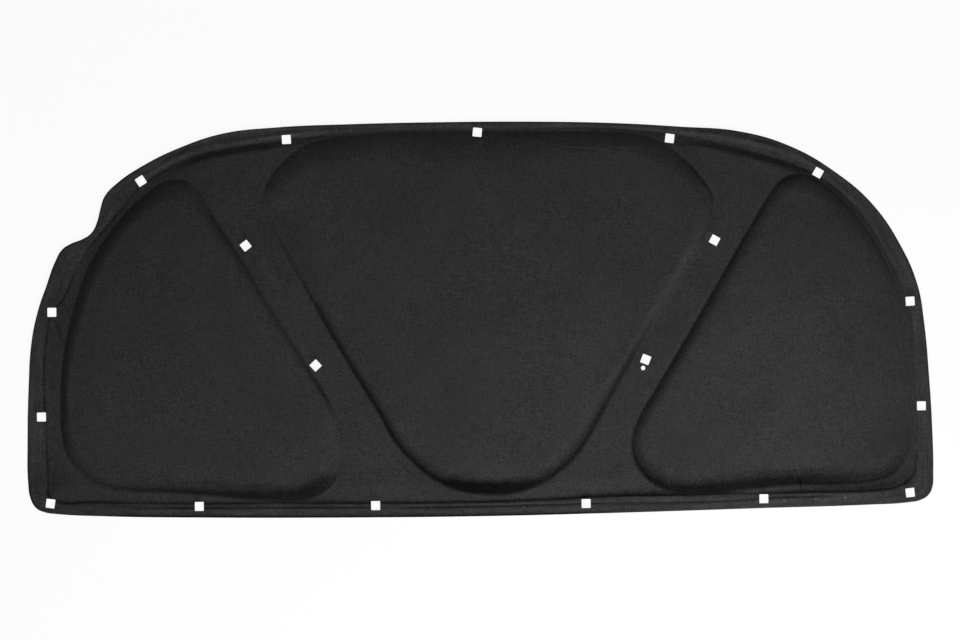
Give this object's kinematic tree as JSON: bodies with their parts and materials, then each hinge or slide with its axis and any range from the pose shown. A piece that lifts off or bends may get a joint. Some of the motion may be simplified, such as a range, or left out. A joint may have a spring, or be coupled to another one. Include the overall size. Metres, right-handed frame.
{
  "type": "hood insulation pad",
  "caption": "Wide D-shaped felt pad for the underside of a car's hood, with raised lobes, pressed ribs and rim, a side notch and square push-clip holes.",
  "frame": {"origin": "middle of the pad's plan at its flat back", "axes": "+X along the pad's width, +Y from the straight edge to the curved edge, +Z out of the moulded face"},
  "size_m": [1.3015, 0.567, 0.016],
  "materials": {
    "felt": "black needled felt, matt, pressed smoother along the rim and creases"
  },
  "bodies": {
    "root": {"insulation_pad": "felt"}
  },
  "joints": []
}
